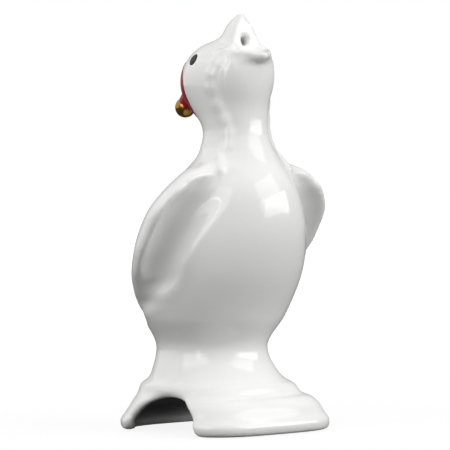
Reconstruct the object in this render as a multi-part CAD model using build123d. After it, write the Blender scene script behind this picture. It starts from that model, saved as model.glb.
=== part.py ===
from build123d import *
import os
from math import atan2, cos, degrees, pi, radians, sin, sqrt

# Ceramic pie bird: a hollow slip-cast bird on a stepped plinth, with a steam passage from
# the two side arches of the plinth up through the belly and neck to the open beak.
# Millimetres. The bird faces -Y, up is +Z, and the origin is the middle of the foot.

# Casting
wall = 3.4
outline_points = 24

# Plinth, from the floor up
foot_half_width = 24.6
foot_half_depth = 23.4
foot_squareness = 3.4
foot_edge_radius = 1.5
foot_bead_top = 2.6
foot_band_top = 9.2
foot_band_taper = 3.6
ledge_half_width = 19.2
ledge_half_depth = 18.4
ledge_y = 2.4
ledge_squareness = 2.8
ledge_bottom = 9.8
ledge_top = 11.9
step_round = 0.9

# Arches through both sides of the plinth
arch_half_width = 12.8
arch_height = 8.9

# Head: the height of its middle, and the height that the stations below are drawn for.
# Between waist and head the stations move in proportion, and above they move with the head.
head_height = 92.0
drawn_head_height = 92.0
head_y = -0.9
head_half_width = 11.2
head_half_depth = 13.3
head_half_height = 11.2
head_hollow_drop = 2.4

# Body stations: height, half width, half depth, and how far the middle lies behind the foot's
flare_station = (13.6, 17.8, 17.1, 3.6)
ankle_station = (16.2, 16.6, 15.9, 4.4)
waist_station = (21.5, 14.8, 14.8, 5.2)
hip_station = (30.0, 19.8, 17.8, 4.3)
belly_station = (43.5, 22.6, 21.0, 1.4)
breast_station = (55.0, 20.6, 20.6, -0.8)
shoulder_station = (65.5, 15.6, 15.6, -4.0)
collar_station = (72.5, 10.4, 10.4, -5.0)
neck_station = (78.0, 8.7, 8.7, -4.3)
nape_station = (85.5, 9.6, 9.6, -2.9)
throat_station = (95.5, 9.6, 9.4, -4.2)

# Upper beak stations: half ovals, upright, as wide as the palate that closes their front
beak_root_station = (101.0, 5.7, 11.0, -7.9)
beak_bridge_station = (102.6, 4.9, 9.8, -8.0)
beak_blade_station = (105.0, 3.9, 7.5, -7.9)
beak_point_station = (107.5, 2.5, 5.5, -7.5)
beak_nib_station = (109.2, 1.4, 3.3, -7.1)
beak_tip_station = (110.0, 0.6, 1.4, -6.9)
palate_radius = 12.0
palate_root_y = -7.8
palate_tip_y = -7.0

# Lower beak, a thick pointed lip with a spooned top, drawn into the throat below:
# height, half width, half depth, middle, and squareness (low is pointed)
lip_stations = [
    (91.0, 8.8, 9.0, -4.4, 2.0),
    (95.6, 9.2, 9.4, -4.9, 1.7),
    (97.8, 9.2, 10.5, -6.0, 1.35),
    (99.2, 9.1, 11.0, -6.4, 1.25),
    (100.4, 8.8, 10.7, -6.4, 1.25),
    (101.0, 7.8, 9.5, -6.4, 1.3),
]
spoon_half_width = 4.8
spoon_half_depth = 4.8
spoon_depth = 1.3
spoon_y = -11.2

# Steam vent at the foot of the palate
vent_diameter = 3.2
vent_height = 103.2
vent_tilt = 50.0

# Wing stations: height, reach of the rim, how far back the rim lies, and the angle round
# the body, forward of the side, where the dished front leaves it
wing_stations = [
    (74.5, 5.0, -5.5, 20.0),
    (71.8, 12.0, -7.6, 26.0),
    (69.0, 19.0, -9.2, 29.0),
    (65.5, 24.6, -9.8, 30.0),
    (60.0, 29.3, -8.3, 29.0),
    (53.0, 30.5, -5.2, 23.0),
    (46.0, 29.9, -1.4, 13.0),
    (40.0, 27.3, 2.8, 0.0),
    (35.0, 23.8, 7.4, -14.0),
    (31.0, 19.8, 9.8, -28.0),
    (27.5, 14.0, 11.5, -40.0),
]
wing_rim_radius = 1.2
wing_dish_radius = 10.0
wing_dish_run_out = 4.0
wing_depth = 0.56
wing_root_share = 0.3

# Festive cap over the back of the head, drawn out to a ball at the nape
cap_edge_y = 5.2
cap_edge_tilt = 14.0
cap_thickness = 0.8
cap_tail_start = (9.2, 90.6)
cap_tail_radius = 4.4
cap_tip_radius = 2.6
cap_tip_gap = 1.6
ball_radius = 2.75
ball_y = 15.7
ball_height = 85.4

# Painted eyes
eye_radius = 1.5
eye_depth = 0.4
eye_y = 2.2
eye_height = 97.9


def oval(height, half_width, half_depth, centre_y, squareness=2.0):
    """Closed oval face at one height; squareness 2 is an ellipse, more is squarer."""
    outline = []
    for k in range(outline_points):
        angle = 2 * pi * k / outline_points
        x_share = abs(cos(angle) / half_width) ** squareness
        y_share = abs(sin(angle) / half_depth) ** squareness
        radius = (x_share + y_share) ** (-1 / squareness)
        outline.append((radius * cos(angle), centre_y + radius * sin(angle), height))
    return make_face(Spline(*outline, periodic=True))


def egg(half_width, half_depth, half_height, centre_y, height):
    """Ellipsoid with its middle on the middle plane."""
    return Pos(0, centre_y, height) * scale(Sphere(1), by=(half_width, half_depth, half_height))


def raised(drawn):
    """Height in the built bird of a height in the drawing."""
    waist = waist_station[0]
    if drawn <= waist:
        return drawn
    if drawn >= drawn_head_height:
        return drawn + head_height - drawn_head_height
    return waist + (drawn - waist) * (head_height - waist) / (drawn_head_height - waist)


def set_up(stations):
    """Stations with their drawn heights turned to built ones."""
    return [(raised(station[0]), *station[1:]) for station in stations]


beak_stations = set_up([
    beak_root_station,
    beak_bridge_station,
    beak_blade_station,
    beak_point_station,
    beak_nib_station,
    beak_tip_station,
])
body_stations = set_up([
    flare_station,
    ankle_station,
    waist_station,
    hip_station,
    belly_station,
    breast_station,
    shoulder_station,
    collar_station,
    neck_station,
    nape_station,
    throat_station,
])
lip_rows = set_up(lip_stations)
wing_rows = set_up(wing_stations)
lip_top = lip_rows[-1][0]


def body_at(height):
    """Half width, half depth and middle of the round body at one height."""
    for low, high in zip(body_stations, body_stations[1:]):
        if height <= high[0]:
            break
    share = (height - low[0]) / (high[0] - low[0])
    return [a + share * (b - a) for a, b in zip(low[1:], high[1:])]


def torso(inset=0.0):
    """The round body from the flare of the plinth to the nape, or its hollow."""
    return loft([oval(z, a - inset, b - inset, y) for z, a, b, y in body_stations])


def plinth():
    """Foot band, ledge and the start of the flare, with softened step edges."""
    band = [
        (0.0, foot_edge_radius),
        (0.3 * foot_edge_radius, 0.35 * foot_edge_radius),
        (foot_edge_radius, 0.0),
        (foot_bead_top, 0.0),
        (foot_band_top - step_round, 0.8 * foot_band_taper),
        (foot_band_top, foot_band_taper),
    ]
    rows = [
        oval(z, foot_half_width - inset, foot_half_depth - inset, 0, foot_squareness)
        for z, inset in band
    ]
    ledge = [(ledge_bottom, 0.0), (ledge_top - step_round, 0.0), (ledge_top, step_round)]
    rows += [
        oval(z, ledge_half_width - inset, ledge_half_depth - inset, ledge_y, ledge_squareness)
        for z, inset in ledge
    ]
    z, a, b, y = flare_station
    rows.append(oval(z, a, b, y))
    return loft(rows, ruled=True)


def plinth_hollow():
    """Open space under the plinth, drawn in by the wall and joined to the belly's hollow."""
    foot_x = foot_half_width - wall
    foot_y = foot_half_depth - wall
    z, a, b, y = ankle_station
    rows = [
        oval(-1.0, foot_x, foot_y, 0, foot_squareness),
        oval(foot_edge_radius, foot_x, foot_y, 0, foot_squareness),
        oval(
            foot_band_top - 0.5 * wall,
            foot_x - foot_band_taper,
            foot_y - foot_band_taper,
            0,
            foot_squareness,
        ),
        oval(ledge_bottom, ledge_half_width - wall, ledge_half_depth - wall, ledge_y, 2.4),
        oval(z, a - wall, b - wall, y),
    ]
    return loft(rows, ruled=True)


def arch_tunnel():
    """Half-oval tunnel along X through both sides of the plinth."""
    reach = foot_half_width + 5
    profile = Plane.YZ * Ellipse(arch_half_width, arch_height)
    return extrude(profile, amount=reach, both=True)


def wing_lobe():
    """Full lobe of a wing: level ovals that point from inside the body to the rim."""
    slices = []
    for height, reach, rim_y, root_angle in wing_rows:
        a, b, y = body_at(height)
        middle = Vector(wing_root_share * a, y + wing_root_share * b / 3)
        run = Vector(reach, rim_y) - middle
        place = Pos(middle.X, middle.Y, height) * Rot(0, 0, degrees(atan2(run.Y, run.X)))
        slices.append((place * Ellipse(run.length, wing_depth * b)).face())
    return loft(slices)


def wing_scoop():
    """Space in front of a wing, whose round side dishes the face between body and rim."""
    middles = []
    for height, reach, rim_y, root_angle in wing_rows[1:-1]:
        a, b, y = body_at(height)
        root = radians(root_angle)
        rim = Vector(reach, rim_y)
        valley = Vector(a * cos(root), y - b * sin(root))
        chord = rim - valley
        forward = Vector(chord.Y, -chord.X).normalized()
        if forward.Y > 0:
            forward = -forward
        off_chord = sqrt(wing_dish_radius**2 - chord.length**2 / 4) + wing_rim_radius
        middle = (rim + valley) * 0.5 + forward * off_chord
        middles.append((middle.X, middle.Y, height))
    top, bottom = middles[0], middles[-1]
    above = (top[0], top[1] - wing_dish_run_out, wing_rows[0][0] + 1)
    below = (bottom[0], bottom[1] - wing_dish_run_out, wing_rows[-1][0] - 1)
    middles = [above, *middles, below]
    return loft([(Pos(middle) * Circle(wing_dish_radius)).face() for middle in middles])


def wing():
    """Wing on the +X side."""
    return wing_lobe() - wing_scoop()


def upper_beak():
    """Upright beak, a narrowing half oval that the palate closes in front."""
    return loft([oval(*station) for station in beak_stations])


def palate_cut():
    """Upright scoop down to the lip that leaves the hollowed front of the upper beak."""
    above = beak_stations[-1][0] + 1
    low = Pos(0, palate_root_y - palate_radius, lip_top) * Circle(palate_radius)
    high = Pos(0, palate_tip_y - palate_radius, above) * Circle(palate_radius)
    return loft([low.face(), high.face()])


def lower_beak():
    """Thick pointed lip, rounded above and drawn in below."""
    return loft([oval(*row) for row in lip_rows])


def spoon():
    """Shallow dish in the top of the lower beak."""
    return egg(spoon_half_width, spoon_half_depth, spoon_depth, spoon_y, lip_top)


def vent():
    """Round steam hole from the palate down into the hollow of the head."""
    tilt = radians(vent_tilt)
    start = (0, palate_root_y - 2, raised(vent_height) + 2 * sin(tilt) / cos(tilt))
    axis = Plane(origin=start, z_dir=(0, cos(tilt), -sin(tilt)))
    return axis * Cylinder(vent_diameter / 2, 14, align=(Align.CENTER, Align.CENTER, Align.MIN))


def head_egg(inset=0.0):
    """The round of the head, or one drawn in from it."""
    return egg(
        head_half_width - inset,
        head_half_depth - inset,
        head_half_height - inset,
        head_y,
        head_height,
    )


def head_hollow():
    """Hollow of the head, low enough to leave the floor of the mouth its thickness."""
    return Pos(0, 0, -head_hollow_drop) * head_egg(wall + head_hollow_drop / 2)


def cap_tail(ball_middle):
    """Tapering tail of the cap, from the back of the head to the ball."""
    start = Vector(0, cap_tail_start[0], raised(cap_tail_start[1]))
    run = ball_middle - start
    end = ball_middle - run.normalized() * cap_tip_gap
    run = end - start
    cone = Cone(
        cap_tail_radius, cap_tip_radius, run.length, align=(Align.CENTER, Align.CENTER, Align.MIN)
    )
    return Plane(origin=start, z_dir=run) * cone


def cap(neck, ball, ball_middle):
    """Thin layer over the back of the head, with its tail down to the ball."""
    behind = Box(
        3 * head_half_width,
        2 * head_half_depth,
        4 * head_half_height,
        align=(Align.CENTER, Align.MIN, Align.CENTER),
    )
    behind = Pos(0, cap_edge_y, head_height) * Rot(-cap_edge_tilt, 0, 0) * behind
    layer = (head_egg() - head_egg(cap_thickness)) & behind
    tail = cap_tail(ball_middle) - head_egg()
    return (layer + tail) - neck - ball


def eye(side):
    """Round painted spot let into the side of the head."""
    spot = Pos(side * head_half_width, eye_y, raised(eye_height)) * Rot(0, 90, 0)
    spot = spot * Cylinder(eye_radius, head_half_width)
    return (head_egg() - head_egg(eye_depth)) & spot


def main():
    neck = torso()
    ball_middle = Vector(0, ball_y, raised(ball_height))
    ball = Pos(ball_middle) * Sphere(ball_radius)
    red_cap = cap(neck, ball, ball_middle)
    right_wing = wing()
    eyes = {"eye_left": eye(1), "eye_right": eye(-1)}

    casting = neck + plinth() + head_egg() + right_wing + mirror(right_wing, about=Plane.YZ)
    casting = casting + lower_beak() + upper_beak() - palate_cut() - spoon()
    belly_and_base_hollow = torso(wall) + plinth_hollow() + arch_tunnel()
    casting = casting - belly_and_base_hollow - head_hollow() - vent()
    casting = casting - red_cap - eyes["eye_left"] - eyes["eye_right"]

    nodes = {"bird_body": casting, "cap": red_cap, "cap_ball": ball, **eyes}
    os.makedirs("parts", exist_ok=True)
    for name, piece in nodes.items():
        export_step(piece, f"parts/{name}.step")


main()
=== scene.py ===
from math import cos, radians, sin

import bpy
import numpy as np
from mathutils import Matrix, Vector


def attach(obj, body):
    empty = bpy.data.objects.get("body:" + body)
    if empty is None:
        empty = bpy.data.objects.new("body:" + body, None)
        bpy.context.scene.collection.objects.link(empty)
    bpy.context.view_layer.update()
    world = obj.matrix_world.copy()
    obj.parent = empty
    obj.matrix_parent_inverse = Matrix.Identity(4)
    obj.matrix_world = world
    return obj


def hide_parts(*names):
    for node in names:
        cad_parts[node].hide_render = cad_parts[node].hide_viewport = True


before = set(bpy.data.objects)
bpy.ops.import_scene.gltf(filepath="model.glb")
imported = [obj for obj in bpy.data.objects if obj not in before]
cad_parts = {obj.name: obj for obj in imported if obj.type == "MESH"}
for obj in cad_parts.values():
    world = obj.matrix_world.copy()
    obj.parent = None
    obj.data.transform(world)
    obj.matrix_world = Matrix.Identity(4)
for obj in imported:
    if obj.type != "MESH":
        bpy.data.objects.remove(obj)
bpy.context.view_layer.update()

# A glazed stoneware pie bird. Each piece is worked out as a signed distance in millimetres,
# negative inside the clay, blended as glaze rounds it, and then given a skin of quads.
MM = 0.001
GRID = 0.6
CAP_GRID = 0.3
EYE_GRID = 0.15
CASTING_ROUNDS = 6
SMALL_ROUNDS = 3
RELAX_PUSHES = (0.5, -0.53)
SMALLEST_HALF = 0.05
NEAR_ZERO = 1e-3
WALL = 3.4
HEIGHT = 110.0
CASTING_BOX = ((-26.0, -2.0), (33.0, 26.0, 113.0))

# Plinth: height, half width, half depth, middle, squareness
FOOT = [
    (-1.0, 24.5, 23.3, 0.0, 3.4),
    (1.2, 24.6, 23.4, 0.0, 3.4),
    (2.6, 24.6, 23.4, 0.0, 3.4),
    (4.3, 23.6, 22.4, 0.0, 3.4),
    (7.2, 22.1, 21.0, 0.0, 3.3),
    (9.2, 20.8, 19.8, 0.6, 3.2),
]
FOOT_TOP = 9.2
LEDGE = [(6.0, 19.2, 18.4, 2.0, 3.0), (9.8, 19.2, 18.4, 2.2, 3.0), (12.0, 18.8, 18.0, 2.8, 2.7)]
LEDGE_BOTTOM = 5.0
LEDGE_TOP = 11.9
ARCH_HALF_WIDTH = 12.8
ARCH_HEIGHT = 8.9

# Body: height, half width, half depth, middle, squareness
BODY = [
    (11.0, 18.8, 18.1, 3.0, 2.5),
    (13.6, 17.8, 17.1, 3.6, 2.1),
    (16.2, 16.6, 15.9, 4.4, 2.0),
    (21.5, 14.8, 14.8, 5.2, 2.0),
    (30.0, 19.8, 17.8, 4.3, 2.0),
    (43.5, 22.6, 21.0, 1.4, 2.0),
    (55.0, 20.6, 20.6, -0.8, 2.0),
    (65.5, 15.6, 15.6, -4.0, 2.0),
    (72.5, 10.4, 10.4, -5.0, 2.0),
    (78.0, 8.7, 8.7, -4.3, 2.0),
    (85.5, 9.5, 9.5, -2.9, 2.0),
    (95.5, 9.4, 8.4, -4.2, 2.0),
]
BODY_SPAN = (11.0, 96.5)

# Head and open beak; the beak's halves are rows like the body's
HEAD_MIDDLE = (0.0, -0.1, 92.0)
HEAD_HALF = (11.2, 12.5, 11.2)
UPPER_BEAK = [
    (97.0, 7.2, 11.4, -7.8, 2.0),
    (100.0, 6.0, 11.6, -7.9, 2.0),
    (102.6, 4.9, 9.5, -8.0, 2.0),
    (105.0, 3.9, 7.5, -7.9, 2.0),
    (107.5, 2.5, 5.5, -7.5, 2.0),
    (109.2, 1.3, 2.8, -7.1, 2.0),
    (110.4, 0.6, 0.9, -7.0, 2.0),
]
BEAK_SPAN = (97.0, 110.2)
PALATE_RADIUS = 20.0
PALATE = ((101.0, -8.2), (111.0, -6.95))
PALATE_SINK = 0.4
LIP = [
    (82.0, 6.8, 6.8, -3.2, 2.0),
    (87.0, 7.8, 7.8, -3.9, 2.2),
    (91.0, 9.3, 8.4, -4.4, 2.4),
    (95.0, 9.5, 8.8, -4.6, 2.4),
    (97.2, 9.0, 9.1, -4.8, 2.1),
    (98.4, 8.7, 9.6, -5.9, 1.5),
    (99.2, 8.5, 10.2, -6.3, 1.25),
    (101.2, 8.3, 10.2, -6.4, 1.25),
]
LIP_BOTTOM = 82.0
LIP_TOP = 101.0
LIP_DIP = (-12.5, 0.4)
SPOON_MIDDLE = (0.0, -12.1, 101.6)
SPOON_HALF = (4.4, 3.9, 2.0)
VENT_RADIUS = 1.2
VENT_MOUTH = (0.0, -8.0, 103.3)
VENT_TILT = 25.0
VENT_REACH = (3.0, 10.0)

# The bead that runs round the lower lip, down the jaw and neck and out along the breast's edge:
# point and radius
LIP_BEAD = [
    ((0.0, -15.3, 98.7), 1.1),
    ((2.6, -12.6, 99.5), 1.1),
    ((4.8, -10.2, 99.7), 1.2),
    ((6.6, -8.2, 99.1), 1.3),
    ((8.3, -6.6, 97.0), 1.6),
    ((9.6, -5.6, 94.0), 1.6),
    ((9.3, -5.6, 90.7), 1.5),
    ((7.9, -6.2, 86.2), 1.4),
    ((7.2, -7.8, 82.1), 1.3),
    ((6.5, -8.4, 78.3), 1.4),
    ((7.1, -9.0, 75.0), 1.2),
    ((9.4, -8.5, 70.9), 1.1),
    ((12.2, -9.8, 67.4), 0.9),
    ((14.2, -9.9, 63.3), 0.6),
]

BEAD_PROUD = 0.45

# Wings: height, reach of the rim, how far back it lies, angle round the body of the valley,
# depth of the dish between them
WING = [
    (74.0, 6.0, -6.0, 22.0, -2.0),
    (71.5, 12.0, -7.6, 26.0, -1.0),
    (69.0, 19.0, -9.2, 29.0, -0.6),
    (65.5, 24.6, -9.8, 31.0, 1.0),
    (60.0, 29.3, -8.3, 28.0, 3.1),
    (53.0, 30.5, -5.2, 20.5, 3.8),
    (46.0, 29.9, -1.4, 12.0, 3.2),
    (40.0, 27.0, 3.6, 4.0, 1.6),
    (35.0, 22.0, 8.6, -4.0, -0.2),
    (31.0, 16.5, 12.4, -21.0, -1.8),
    (27.5, 9.0, 12.0, -36.0, -3.0),
]
WING_RIM = 0.18
WING_DEPTH = 0.56
WING_HOLLOWNESS = 0.24
WING_BOW = 5.0
WING_ROOT = 0.3
LOBE_SPAN = (27.0, 74.5)
DISH_SPAN = (28.0, 69.5)

# The hollow: its levels, and how much lower and smaller the head's room is
HOLLOW_SPAN = (10.5, 90.0)
FOOT_ROOM_TOP = 7.4
LEDGE_ROOM_SPAN = (5.0, 11.0)
HEAD_ROOM_DROP = 2.4
HEAD_ROOM_MARGIN = 1.2

CAP_EDGE_Y = 5.2
CAP_TILT = 0.25
CAP_BEND = 0.06
CAP_PROUD = 0.12
CAP_DEPTH = 0.8
CAP_REACH = 0.6
CAP_BOX = ((3.0, 80.0), (14.0, 22.0, 106.0))
TAIL_START = (0.0, 9.2, 90.6)
TAIL_END = (0.0, 14.6, 86.6)
TAIL_RADII = (4.4, 2.6)
BALL_MIDDLE = (0.0, 15.9, 85.2)
BALL_RADIUS = 2.75
BALL_SEAT = 0.05
EYE_RADIUS = 1.5
EYE_Y = 2.2
EYE_HEIGHT = 97.9
EYE_PROUD = 0.12
EYE_DEPTH = 0.5
EYE_SPAN = (6.0, 12.5)
EYE_MARGIN = 3.0

# How far an edge is rounded or a corner filled, which is what a thick glaze does
SOFT = {
    "foot": 1.6,
    "ledge": 1.2,
    "body": 1.5,
    "foot_to_ledge": 2.0,
    "ledge_to_body": 2.6,
    "wing_ends": 2.0,
    "wing_root": 3.2,
    "dish": 3.0,
    "dish_ends": 5.0,
    "head": 2.4,
    "lip": 1.2,
    "jaw": 1.8,
    "bead": 1.3,
    "beak": 0.8,
    "beak_root": 1.8,
    "palate_floor": 1.0,
    "spoon": 1.2,
    "room": 1.0,
    "room_corner": 2.0,
    "room_waist": 2.5,
    "arch": 2.4,
    "vent": 0.5,
    "cap_edge": 0.2,
    "cap_tail": 1.2,
    "ball_seat": 0.1,
    "eye_edge": 0.2,
    "eye_back": 0.1,
}

# Glaze: size of its pools and swells, where the foot is dry, and how deep inside the hollow the
# painted shade starts and is full
POOL = 18.0
SWELL = 9.0
SWELL_HEIGHT = 0.3
SWELL_STRENGTH = 0.12
DRY_FACING = (-0.8, -0.97)
DRY_HEIGHT = (0.5, 0.2)
PAINTED_SHADE_DEPTH = (1.6, 3.4)

# Studio, in metres, degrees and watts
CAMERA_AZIMUTH = -42.0
CAMERA_ELEVATION = 2.3
CAMERA_DISTANCE = 1.0
CAMERA_AIM = (0.0, 0.0, 0.0541)
CAMERA_WIDTH = 0.1194
SENSOR_WIDTH = 36.0
FLOOR_SIZE = 3.0
FLOOR_DROP = 0.0002
FLOOR_FADE = (0.08, 0.6)
FLOOR_GLOW = 0.88
ROOM_LIGHT = 0.3
CEILING_LIGHT = 0.7
CEILING_SPAN = (-0.1, 0.9)

# Soft lights: angle round from the camera, angle up, distance, width, height, power
LIGHTS = {
    "right_softbox": (82, 12, 0.8, 0.75, 0.24, 2.1),
    "left_softbox": (-110, 18, 1.1, 1.4, 1.0, 2.8),
    "left_fill": (-38, 30, 1.5, 1.3, 1.0, 8.5),
    "right_fill": (72, 28, 1.6, 1.3, 1.1, 9.5),
    "strip_softbox": (-28, 12, 0.9, 0.06, 0.6, 0.5),
}


class Block:
    """A box of sample points, mirrored in X when it starts at the middle plane."""

    def __init__(self, low, high, step):
        self.low = np.array(low, float)
        self.step = step
        count = np.ceil((np.array(high, float) - self.low) / step).astype(int) + 1
        axes = [self.low[i] + step * np.arange(count[i]) for i in range(3)]
        self.x = axes[0][:, None, None].astype(np.float32)
        self.y = axes[1][None, :, None].astype(np.float32)
        self.z = axes[2][None, None, :].astype(np.float32)
        self.levels = axes[2]

    def even(self, field):
        """The same surface, with its values scaled to true distances near it."""
        field = np.broadcast_to(field, (self.x.size, self.y.size, self.z.size))
        slopes = np.gradient(field, self.step)
        steep = np.sqrt(slopes[0] ** 2 + slopes[1] ** 2 + slopes[2] ** 2)
        return field / np.clip(steep, 0.6, 4.0)

    def whole(self, field):
        """A half's field made whole across the middle plane, and its low corner."""
        low = self.low.copy()
        low[0] = -(self.x.size - 0.5) * self.step
        return np.concatenate([field[::-1], field]), low


def eased(levels, rows, column):
    """One column of the stations, passed smoothly from level to level."""
    rows = sorted(rows)
    height = np.array([row[0] for row in rows])
    value = np.array([row[column] for row in rows])
    slope = np.gradient(value, height)
    i = np.clip(np.searchsorted(height, levels) - 1, 0, len(rows) - 2)
    gap = height[i + 1] - height[i]
    t = np.clip((levels - height[i]) / gap, 0.0, 1.0)
    start = (2 * t**3 - 3 * t**2 + 1) * value[i] + (t**3 - 2 * t**2 + t) * gap * slope[i]
    return start + (3 * t**2 - 2 * t**3) * value[i + 1] + (t**3 - t**2) * gap * slope[i + 1]


def joined(a, b, soft):
    """Either of two forms, with the corner between them filled to about soft millimetres."""
    share = np.clip(0.5 + 0.5 * (b - a) / soft, 0.0, 1.0)
    return b * (1 - share) + a * share - soft * share * (1 - share)


def cut(a, b, soft):
    """a with b taken away, with the edge between them rounded."""
    return -joined(-a, b, soft)


def stack(block, rows, inset=0.0):
    """Ovals stacked up Z, each as wide, deep and square as its station says."""
    a = (eased(block.levels, rows, 1) - inset)[None, None, :].astype(np.float32)
    b = (eased(block.levels, rows, 2) - inset)[None, None, :].astype(np.float32)
    middle = eased(block.levels, rows, 3)[None, None, :].astype(np.float32)
    square = eased(block.levels, rows, 4)[None, None, :].astype(np.float32)
    across = np.abs(block.x) / np.maximum(a, SMALLEST_HALF)
    along = np.abs(block.y - middle) / np.maximum(b, SMALLEST_HALF)
    ratio = np.maximum((across**square + along**square) ** (1 / square), NEAR_ZERO)
    out = np.hypot(block.x, block.y - middle)
    deepest = np.maximum(np.minimum(a, b), SMALLEST_HALF)
    return block.even(np.maximum(out - out / ratio, -deepest))


def between(block, field, span, soft):
    """The form kept between two levels, with rounded edges."""
    low, high = span
    return cut(cut(field, block.z - low, soft), high - block.z, soft)


def egg(block, middle, half):
    """Ellipsoid."""
    x, y, z = ((p - m) / h for p, m, h in zip((block.x, block.y, block.z), middle, half))
    return block.even((np.sqrt(x**2 + y**2 + z**2) - 1) * min(half))


def tapered(block, start, end, radii):
    """Round bar between two points, from one radius to the other, with round ends."""
    start, end = Vector(start), Vector(end)
    run = end - start
    offset = [p - s for p, s in zip((block.x, block.y, block.z), start)]
    t = sum(o * r for o, r in zip(offset, run)) / run.length_squared
    t = np.clip(t, 0.0, 1.0)
    away = sum((o - t * r) ** 2 for o, r in zip(offset, run))
    return np.sqrt(away) - (radii[0] + t * (radii[1] - radii[0]))


def wing(block):
    """A lobe from inside the body out to its rim, and the space that dishes its front."""
    sizes = {"lobe": [], "dish": []}
    for height, reach, rim_y, valley_angle, sink in WING:
        a, b, y = (float(eased(np.array([height]), BODY, i)[0]) for i in (1, 2, 3))
        rim = Vector((reach, rim_y))
        root = Vector((WING_ROOT * a, y + WING_ROOT * b / 3))
        turn = radians(valley_angle)
        valley = Vector((a * cos(turn), y - b * sin(turn)))
        run = rim - root
        sizes["lobe"].append((height, root.x, root.y, run.x, run.y, WING_DEPTH * b))
        ridge = rim.lerp(valley, WING_RIM)
        chord = ridge - valley
        sag = WING_HOLLOWNESS * chord.length
        bow = max(chord.length**2 / (8 * sag) + sag / 2, WING_BOW)
        forward = Vector((chord.y, -chord.x)).normalized()
        if forward.dot(ridge + valley - 2 * Vector((0, y))) < 0:
            forward = -forward
        centre = (ridge + valley) * 0.5 + forward * (bow - sink)
        sizes["dish"].append((height, centre.x, centre.y, bow))

    def column(name, i):
        return eased(block.levels, sizes[name], i)[None, None, :].astype(np.float32)

    root_x, root_y, run_x, run_y, depth = (column("lobe", i) for i in range(1, 6))
    length = np.hypot(run_x, run_y)
    ahead = ((block.x - root_x) * run_x + (block.y - root_y) * run_y) / length
    aside = ((block.y - root_y) * run_x - (block.x - root_x) * run_y) / length
    ratio = np.maximum(np.hypot(ahead / length, aside / depth), NEAR_ZERO)
    out = np.hypot(ahead, aside)
    lobe = block.even(out - out / ratio)
    lobe = between(block, lobe, LOBE_SPAN, SOFT["wing_ends"])
    centre_x, centre_y, bow = (column("dish", i) for i in range(1, 4))
    dish = np.hypot(block.x - centre_x, block.y - centre_y) - bow
    return lobe, between(block, block.even(dish), DISH_SPAN, SOFT["dish_ends"])


def sunk(block, field, point, depth):
    """A point moved square to the surface until it lies this deep under it."""
    point = np.array([point], float)
    for _ in range(4):
        here = values_at(field, block.low, block.step, point)
        beside = [values_at(field, block.low, block.step, point + step) for step in np.eye(3)]
        slope = np.stack(beside, 1) - here[:, None]
        point = point - (here + depth) * slope / np.linalg.norm(slope)
    return tuple(point[0])


def plinth_and_body(block):
    """Foot, ledge, body and wing lobe, and the space that dishes the wing."""
    foot = between(block, stack(block, FOOT), (0.0, FOOT_TOP), SOFT["foot"])
    ledge = between(block, stack(block, LEDGE), (LEDGE_BOTTOM, LEDGE_TOP), SOFT["ledge"])
    body = between(block, stack(block, BODY), BODY_SPAN, SOFT["body"])
    solid = joined(joined(foot, ledge, SOFT["foot_to_ledge"]), body, SOFT["ledge_to_body"])
    lobe, dish = wing(block)
    return joined(solid, lobe, SOFT["wing_root"]), dish


def lower_lip(block):
    """The lower beak, whose top slopes down in front."""
    lip = between(block, stack(block, LIP), (LIP_BOTTOM, LIP_TOP), SOFT["lip"])
    reach, slope = LIP_DIP
    above = LIP_TOP + slope * np.minimum(block.y - reach, 0) - block.z
    return cut(lip, above, SOFT["lip"])


def bead_added(block, solid):
    """The form with the bead laid on it."""
    bead = [(sunk(block, solid, point, radius - BEAD_PROUD), radius) for point, radius in LIP_BEAD]
    for (start, near), (end, far) in zip(bead, bead[1:]):
        solid = joined(solid, tapered(block, start, end, (near, far)), SOFT["bead"])
    return solid


def beak_opened(block, solid):
    """The form with the palate scooped, the upper beak added and the lower lip dished."""
    (low, low_y), (high, high_y) = PALATE
    centre = low_y + (block.z - low) / (high - low) * (high_y - low_y) - PALATE_RADIUS
    palate = np.hypot(block.x, block.y - centre) - PALATE_RADIUS
    upper = between(block, stack(block, UPPER_BEAK), BEAK_SPAN, SOFT["beak"])
    scoop = cut(palate, block.z - LIP_TOP + PALATE_SINK, SOFT["palate_floor"])
    solid = cut(solid, scoop, SOFT["beak"])
    solid = joined(solid, cut(upper, palate, SOFT["beak"]), SOFT["beak_root"])
    return cut(solid, egg(block, SPOON_MIDDLE, SPOON_HALF), SOFT["spoon"])


def rooms(block):
    """The steam passage inside: foot, ledge, body and head."""
    inside = between(block, stack(block, BODY, WALL), HOLLOW_SPAN, SOFT["room"])
    foot = [(z, a - WALL, b - WALL, y, n) for z, a, b, y, n in FOOT]
    hollow = cut(stack(block, foot), FOOT_ROOM_TOP - block.z, SOFT["room_corner"])
    ledge = [(z, a - WALL, b - WALL, y, n) for z, a, b, y, n in LEDGE]
    ledge = between(block, stack(block, ledge), LEDGE_ROOM_SPAN, SOFT["room"])
    hollow = joined(hollow, ledge, SOFT["room_corner"])
    inside = joined(inside, hollow, SOFT["room_waist"])
    middle = (HEAD_MIDDLE[0], HEAD_MIDDLE[1], HEAD_MIDDLE[2] - HEAD_ROOM_DROP)
    head = egg(block, middle, [h - WALL - HEAD_ROOM_MARGIN for h in HEAD_HALF])
    return joined(inside, head, SOFT["room_corner"])


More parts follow.
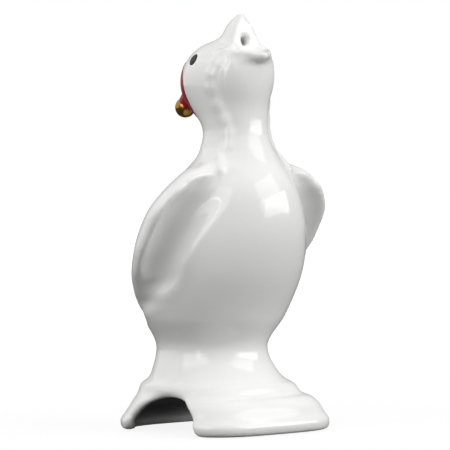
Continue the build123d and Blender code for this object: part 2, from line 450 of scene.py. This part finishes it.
def clay(block):
    """The whole casting, and its outer form before it is hollowed."""
    solid, dish = plinth_and_body(block)
    solid = joined(solid, egg(block, HEAD_MIDDLE, HEAD_HALF), SOFT["head"])
    solid = joined(solid, lower_lip(block), SOFT["jaw"])
    solid = cut(bead_added(block, solid), dish, SOFT["dish"])
    outer = beak_opened(block, solid)
    solid = cut(outer, rooms(block), SOFT["room"])

    span = np.hypot(block.y / ARCH_HALF_WIDTH, block.z / ARCH_HEIGHT) - 1
    solid = cut(solid, block.even(span * ARCH_HEIGHT), SOFT["arch"])
    tilt = radians(VENT_TILT)
    inward = Vector((0, cos(tilt), -sin(tilt)))
    mouth = Vector(VENT_MOUTH) - VENT_REACH[0] * inward
    bottom = Vector(VENT_MOUTH) + VENT_REACH[1] * inward
    vent = tapered(block, mouth, bottom, (VENT_RADIUS, VENT_RADIUS))
    return cut(solid, vent, SOFT["vent"]), outer


def skin(field, low, step):
    """Quads over the zero level: one point in each crossed cell, one quad on each crossed edge."""
    cells = np.array(field.shape)
    rings, spots = [], []
    for axis in range(3):
        j, k = (axis + 1) % 3, (axis + 2) % 3
        near, far = [slice(None)] * 3, [slice(None)] * 3
        near[axis], far[axis] = slice(None, -1), slice(1, None)
        a, b = field[tuple(near)], field[tuple(far)]
        at = np.argwhere((a < 0) != (b < 0))
        at = at[(at[:, j] > 0) & (at[:, k] > 0)]
        value_a, value_b = a[tuple(at.T)], b[tuple(at.T)]
        spot = at.astype(float)
        spot[:, axis] += value_a / (value_a - value_b)
        ring = []
        for dj, dk in ((0, 0), (1, 0), (1, 1), (0, 1)):
            cell = at.copy()
            cell[:, j] -= dj
            cell[:, k] -= dk
            ring.append(np.ravel_multi_index(tuple(cell.T), cells))
        ring = np.stack(ring, 1)
        outward = (value_a < 0)[:, None]
        rings.append(np.where(outward, ring, ring[:, ::-1]))
        spots.append(np.repeat(spot, 4, axis=0))
    _, owners = np.unique(np.concatenate(rings), return_inverse=True)
    owners, spots = owners.reshape(-1), np.concatenate(spots)
    count = np.bincount(owners)
    points = np.stack([np.bincount(owners, spots[:, i]) / count for i in range(3)], 1)
    return low + step * points, owners.reshape(-1, 4)


def relaxed(points, quads, rounds):
    """The same surface with the grid's small ripples taken out, without shrinking it."""
    a = quads.reshape(-1)
    b = np.roll(quads, -1, axis=1).reshape(-1)
    count = np.bincount(a, minlength=len(points)) + np.bincount(b, minlength=len(points))
    for _ in range(rounds):
        for push in RELAX_PUSHES:
            total = np.stack(
                [
                    np.bincount(a, points[b, i], len(points))
                    + np.bincount(b, points[a, i], len(points))
                    for i in range(3)
                ],
                1,
            )
            points = points + push * (total / count[:, None] - points)
    return points


def piece(name, points, quads, material, nodes):
    """A mesh from points in millimetres, riding on the body, in place of its CAD nodes."""
    mesh = bpy.data.meshes.new(name)
    mesh.vertices.add(len(points))
    mesh.vertices.foreach_set("co", (points * MM).astype(np.float32).ravel())
    mesh.loops.add(quads.size)
    mesh.loops.foreach_set("vertex_index", quads.ravel().astype(np.int32))
    mesh.polygons.add(len(quads))
    mesh.polygons.foreach_set("loop_start", np.arange(0, quads.size, 4, dtype=np.int32))
    mesh.update(calc_edges=True)
    mesh.validate()
    mesh.shade_smooth()
    mesh.materials.append(material)
    obj = bpy.data.objects.new(name, mesh)
    bpy.context.scene.collection.objects.link(obj)
    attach(obj, "root")
    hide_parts(*nodes)
    return obj


def values_at(field, low, step, points):
    """Values of a stored field at any points."""
    at = (points - low) / step
    base = np.clip(np.floor(at).astype(int), 0, np.array(field.shape) - 2)
    t = at - base
    total = np.zeros(len(at))
    for corner in range(8):
        d = np.array([corner & 1, corner >> 1 & 1, corner >> 2 & 1])
        total += np.prod(np.where(d, t, 1 - t), axis=1) * field[tuple((base + d).T)]
    return total


def sampled(field, low, step, block):
    """Values of a stored field at another block's points."""
    x, y, z = np.broadcast_arrays(block.x, block.y, block.z)
    points = np.stack([x.ravel(), y.ravel(), z.ravel()], 1)
    return values_at(field, low, step, points).reshape(x.shape)


def linear(code):
    """sRGB hex to linear colour."""
    parts = [int(code[i : i + 2], 16) / 255 for i in (1, 3, 5)]
    return [p / 12.92 if p <= 0.04045 else ((p + 0.055) / 1.055) ** 2.4 for p in parts] + [1.0]


def new_material(name):
    """A material, its node tree and its shader."""
    material = bpy.data.materials.new(name)
    material.use_nodes = True
    return material, material.node_tree, material.node_tree.nodes["Principled BSDF"]


def node(tree, kind, settings=None, values=None, links=None):
    """Adds a node with its settings, its sockets' values and the links into it."""
    added = tree.nodes.new(kind)
    for name, value in (settings or {}).items():
        setattr(added, name, value)
    for name, value in (values or {}).items():
        added.inputs[name].default_value = value
    for name, source in (links or {}).items():
        tree.links.new(source, added.inputs[name])
    return added


def white_stoneware_glaze():
    """Clear glossy glaze, dipped and fired over white stoneware.

    To the eye it is a cool white with sharp reflections, which slow swells in the glaze bend. The
    foot's rim is wiped dry and buff. The hollow's inside is painted a darker grey the deeper it
    lies, which is painted shade.
    """
    material, tree, shader = new_material("white_stoneware_glaze")
    shader.inputs["IOR"].default_value = 1.52
    shader.inputs["Roughness"].default_value = 0.09
    place = node(tree, "ShaderNodeTexCoord")
    pooling = node(
        tree,
        "ShaderNodeTexNoise",
        values={"Scale": 1 / (POOL * MM), "Detail": 2.0},
        links={"Vector": place.outputs["Object"]},
    )
    tone = node(
        tree,
        "ShaderNodeMix",
        {"data_type": "RGBA"},
        {6: linear("#E9E9E7"), 7: linear("#EEEEED")},
        {"Factor": pooling.outputs["Fac"]},
    )
    spread = node(tree, "ShaderNodeSeparateXYZ", links={"Vector": place.outputs["Object"]})
    geometry = node(tree, "ShaderNodeNewGeometry")
    facing = node(tree, "ShaderNodeSeparateXYZ", links={"Vector": geometry.outputs["Normal"]})
    dry = node(
        tree,
        "ShaderNodeMapRange",
        values={"From Min": DRY_FACING[0], "From Max": DRY_FACING[1]},
        links={"Value": facing.outputs["Z"]},
    )
    low = node(
        tree,
        "ShaderNodeMapRange",
        values={"From Min": DRY_HEIGHT[0] * MM, "From Max": DRY_HEIGHT[1] * MM},
        links={"Value": spread.outputs["Z"]},
    )
    bare = node(
        tree,
        "ShaderNodeMath",
        {"operation": "MULTIPLY"},
        links={0: dry.outputs["Result"], 1: low.outputs["Result"]},
    )
    footed = node(
        tree,
        "ShaderNodeMix",
        {"data_type": "RGBA"},
        {7: linear("#D9D2C4")},
        {"Factor": bare.outputs["Value"], 6: tone.outputs[2]},
    )
    # Painted shade: the hollow's inside is mixed towards dark grey the deeper it lies below the
    # outer form
    depth = node(tree, "ShaderNodeAttribute", {"attribute_name": "depth_for_painted_shade_mm"})
    hollow = node(
        tree,
        "ShaderNodeMapRange",
        values={"From Min": PAINTED_SHADE_DEPTH[0], "From Max": PAINTED_SHADE_DEPTH[1]},
        links={"Value": depth.outputs["Fac"]},
    )
    painted_shade_mix = node(
        tree,
        "ShaderNodeMix",
        {"data_type": "RGBA"},
        {7: linear("#707072")},
        {"Factor": hollow.outputs["Result"], 6: footed.outputs[2]},
    )
    tree.links.new(painted_shade_mix.outputs[2], shader.inputs["Base Color"])
    swell = node(
        tree,
        "ShaderNodeTexNoise",
        values={"Scale": 1 / (SWELL * MM), "Detail": 1.0},
        links={"Vector": place.outputs["Object"]},
    )
    bump = node(
        tree,
        "ShaderNodeBump",
        values={"Strength": SWELL_STRENGTH, "Distance": SWELL_HEIGHT * MM},
        links={"Height": swell.outputs["Fac"]},
    )
    tree.links.new(bump.outputs["Normal"], shader.inputs["Normal"])
    return material


def fired_colour(name, dark, light, rough, gloss, metallic=0.0, grain=4.0):
    """Overglaze colour, brushed on and fired, with the brush's slow changes of tone.

    The grain is the width of a brush stroke in millimetres.
    """
    material, tree, shader = new_material(name)
    shader.inputs["Roughness"].default_value = rough
    shader.inputs["Specular IOR Level"].default_value = gloss
    shader.inputs["Metallic"].default_value = metallic
    place = node(tree, "ShaderNodeTexCoord")
    strokes = node(
        tree,
        "ShaderNodeTexNoise",
        values={"Scale": 1 / (grain * MM), "Detail": 3.0},
        links={"Vector": place.outputs["Object"]},
    )
    tone = node(
        tree,
        "ShaderNodeMix",
        {"data_type": "RGBA"},
        {6: linear(dark), 7: linear(light)},
        {"Factor": strokes.outputs["Fac"]},
    )
    tree.links.new(tone.outputs[2], shader.inputs["Base Color"])
    return material


def casting(glaze):
    """The glazed bird in one piece, and what the paint on it is laid on."""
    (low_y, low_z), high = CASTING_BOX
    block = Block((GRID / 2, low_y, low_z), high, GRID)
    right, right_outer = clay(block)
    field, low = block.whole(right)
    outer, _ = block.whole(right_outer)
    points, quads = skin(field, low, GRID)
    points = relaxed(points, quads, CASTING_ROUNDS)
    points[:, 2] = np.clip(points[:, 2], 0.0, HEIGHT)
    bird = piece("bird_casting", points, quads, glaze, ["bird_body"])
    # Depth below the outer form before hollowing, which the glaze turns into painted shade inside
    # the hollow
    depth = bird.data.attributes.new("depth_for_painted_shade_mm", "FLOAT", "POINT")
    depth.data.foreach_set("value", -values_at(outer, low, GRID, points))
    return field, low


def cap_and_ball(field, casting_low, red, gold):
    """The painted cap with its tail, and the gilt ball that sits in the tail's end."""
    (low_y, low_z), high = CAP_BOX
    area = Block((CAP_GRID / 2, low_y, low_z), high, CAP_GRID)
    surface = sampled(field, casting_low, GRID, area)
    ball = egg(area, BALL_MIDDLE, [BALL_RADIUS] * 3)
    layer = np.maximum(surface - CAP_PROUD, -(surface + CAP_DEPTH))
    rise = area.z - HEAD_MIDDLE[2]
    edge = CAP_EDGE_Y + CAP_TILT * rise + CAP_BEND * np.maximum(rise, 0) ** 2
    layer = cut(layer, area.even(area.y - edge), SOFT["cap_edge"])
    layer = np.maximum(layer, egg(area, HEAD_MIDDLE, [h + CAP_REACH for h in HEAD_HALF]))
    tail = np.maximum(tapered(area, TAIL_START, TAIL_END, TAIL_RADII), -(surface + CAP_DEPTH))
    red_cap = joined(layer, tail, SOFT["cap_tail"])
    red_cap = cut(red_cap, ball - BALL_SEAT, SOFT["ball_seat"])
    whole, low = area.whole(red_cap)
    points, quads = skin(whole, low, CAP_GRID)
    points = relaxed(points, quads, SMALL_ROUNDS)
    piece("red_cap", points, quads, red, ["cap"])

    whole, low = area.whole(ball)
    points, quads = skin(whole, low, CAP_GRID)
    points = relaxed(points, quads, SMALL_ROUNDS)
    piece("gilt_ball", points, quads, gold, ["cap_ball"])


def eye(field, low, side, name, black):
    """A painted dot that follows the head, mirrored for the other side."""
    (near, far), y, z = EYE_SPAN, EYE_Y, EYE_HEIGHT
    start = (near, y - EYE_MARGIN, z - EYE_MARGIN)
    spot = Block(start, (far, y + EYE_MARGIN, z + EYE_MARGIN), EYE_GRID)
    surface = sampled(field, low, GRID, spot)
    outside = EYE_RADIUS - np.hypot(spot.y - y, spot.z - z)
    dome = cut(surface - EYE_PROUD, outside, SOFT["eye_edge"])
    dome = cut(dome, surface + EYE_DEPTH, SOFT["eye_back"])
    points, quads = skin(dome, spot.low, EYE_GRID)
    points = relaxed(points, quads, SMALL_ROUNDS)
    if side < 0:
        points[:, 0] *= -1
        quads = quads[:, ::-1]
    piece("eye_" + name + "_dot", points, quads, black, ["eye_" + name])


def build_bird():
    glaze = white_stoneware_glaze()
    # Red overglaze enamel: an even, deep red with a softer shine than the glaze under it
    red = fired_colour("red_enamel", "#8A1216", "#A41A1C", 0.25, 0.25)
    # Gold lustre, a metal film that is fired on: a warm mirror, nearly black where the room is dim
    gold = fired_colour("gold_lustre", "#8A6030", "#B88C48", 0.2, 0.5, 1.0, 2.0)
    # Black overglaze enamel: a flat, nearly black dot with a faint shine
    black = fired_colour("black_enamel", "#0C0C0C", "#151515", 0.25, 0.15)
    field, low = casting(glaze)
    cap_and_ball(field, low, red, gold)
    for side, name in ((1, "left"), (-1, "right")):
        eye(field, low, side, name, black)


def floor():
    """Matt white paper, which keeps the bird's soft shadow and fades into the white behind."""
    bpy.ops.mesh.primitive_plane_add(size=FLOOR_SIZE, location=(0, 0, -FLOOR_DROP))
    sheet = bpy.context.object
    sheet.name = "paper_floor"
    material, tree, shader = new_material("white_paper")
    shader.inputs["Base Color"].default_value = linear("#585858")
    shader.inputs["Roughness"].default_value = 0.9
    shader.inputs["Specular IOR Level"].default_value = 0.1
    shader.inputs["Emission Color"].default_value = linear("#FFFFFF")
    sheet.data.materials.append(material)
    place = node(tree, "ShaderNodeTexCoord")
    away = node(
        tree,
        "ShaderNodeVectorMath",
        {"operation": "LENGTH"},
        links={"Vector": place.outputs["Object"]},
    )
    fade = node(
        tree,
        "ShaderNodeMapRange",
        values={"From Min": FLOOR_FADE[0], "From Max": FLOOR_FADE[1], "To Min": FLOOR_GLOW},
        links={"Value": away.outputs["Value"]},
    )
    path = node(tree, "ShaderNodeLightPath")
    glow = node(
        tree,
        "ShaderNodeMath",
        {"operation": "MULTIPLY"},
        links={0: path.outputs["Is Camera Ray"], 1: fade.outputs["Result"]},
    )
    tree.links.new(glow.outputs["Value"], shader.inputs["Emission Strength"])


def sky():
    """White behind the bird, and a room that is bright overhead and dim at eye level."""
    world = bpy.data.worlds.new("white_room")
    bpy.context.scene.world = world
    world.use_nodes = True
    tree = world.node_tree
    background = tree.nodes["Background"]
    background.inputs["Color"].default_value = linear("#FFFFFF")
    place = node(tree, "ShaderNodeTexCoord")
    ways = node(tree, "ShaderNodeSeparateXYZ", links={"Vector": place.outputs["Generated"]})
    overhead = node(
        tree,
        "ShaderNodeMapRange",
        {"interpolation_type": "SMOOTHSTEP"},
        {
            "From Min": CEILING_SPAN[0],
            "From Max": CEILING_SPAN[1],
            "To Min": ROOM_LIGHT,
            "To Max": CEILING_LIGHT,
        },
        {"Value": ways.outputs["Z"]},
    )
    path = node(tree, "ShaderNodeLightPath")
    level = node(
        tree,
        "ShaderNodeMix",
        {"data_type": "FLOAT"},
        {3: 1.0},
        {0: path.outputs["Is Camera Ray"], 2: overhead.outputs["Result"]},
    )
    tree.links.new(level.outputs[0], background.inputs["Strength"])


def towards(azimuth, elevation, distance):
    """A place seen from the bird's middle at an angle, azimuth 0 being its front."""
    a, e = radians(azimuth), radians(elevation)
    around = Vector((sin(a) * cos(e), -cos(a) * cos(e), sin(e)))
    return Vector(CAMERA_AIM) + distance * around


def softbox(name, azimuth, elevation, distance, width, height, power):
    """A soft rectangular light that faces the bird's middle."""
    lamp = bpy.data.lights.new(name, "AREA")
    lamp.shape = "RECTANGLE"
    lamp.size, lamp.size_y, lamp.energy = width, height, power
    obj = bpy.data.objects.new(name, lamp)
    obj.location = towards(azimuth, elevation, distance)
    obj.rotation_euler = (obj.location - Vector(CAMERA_AIM)).to_track_quat("Z", "Y").to_euler()
    bpy.context.scene.collection.objects.link(obj)


def camera():
    """The photo's view of the bird, without depth of field."""
    data = bpy.data.cameras.new("camera")
    obj = bpy.data.objects.new("camera", data)
    obj.location = towards(CAMERA_AZIMUTH, CAMERA_ELEVATION, CAMERA_DISTANCE)
    view = obj.location - Vector(CAMERA_AIM)
    obj.rotation_euler = view.to_track_quat("Z", "Y").to_euler()
    data.sensor_width = SENSOR_WIDTH
    data.lens = SENSOR_WIDTH * CAMERA_DISTANCE / CAMERA_WIDTH
    data.dof.use_dof = False
    bpy.context.scene.collection.objects.link(obj)
    bpy.context.scene.camera = obj


build_bird()
floor()
sky()
for light, (turn, up, distance, width, height, power) in LIGHTS.items():
    softbox(light, CAMERA_AZIMUTH + turn, up, distance, width, height, power)
camera()
bpy.context.scene.view_settings.view_transform = "Standard"
